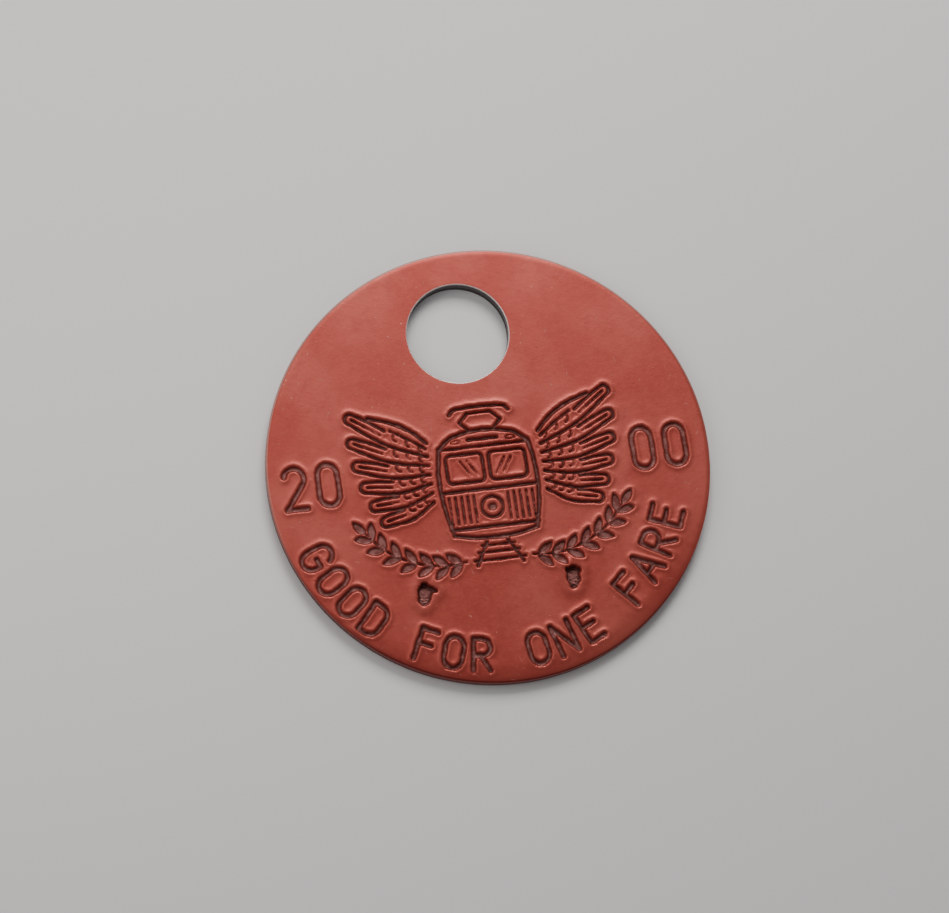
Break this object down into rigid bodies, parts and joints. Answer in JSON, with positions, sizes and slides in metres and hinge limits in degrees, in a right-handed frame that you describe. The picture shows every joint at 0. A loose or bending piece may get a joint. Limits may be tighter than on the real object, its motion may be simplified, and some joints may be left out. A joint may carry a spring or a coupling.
{
  "type": "transit token",
  "caption": "Thin round metal token with a ring hole near its rim, a die-rolled edge, and a stamped winged tram, digits and fare legend on one face.",
  "frame": {"origin": "centre of the flat back face, which lies on z = 0", "axes": "+Z out of the stamped face, +Y from the disc's centre through the ring hole's centre"},
  "size_m": [0.026, 0.026, 0.001],
  "materials": {
    "dyed_aluminium": "satin anodised aluminium dyed salmon red, darker in the stamped lines, with a thin bare-metal line round the punched hole"
  },
  "bodies": {
    "root": {"token_disc": "dyed_aluminium"}
  },
  "joints": []
}
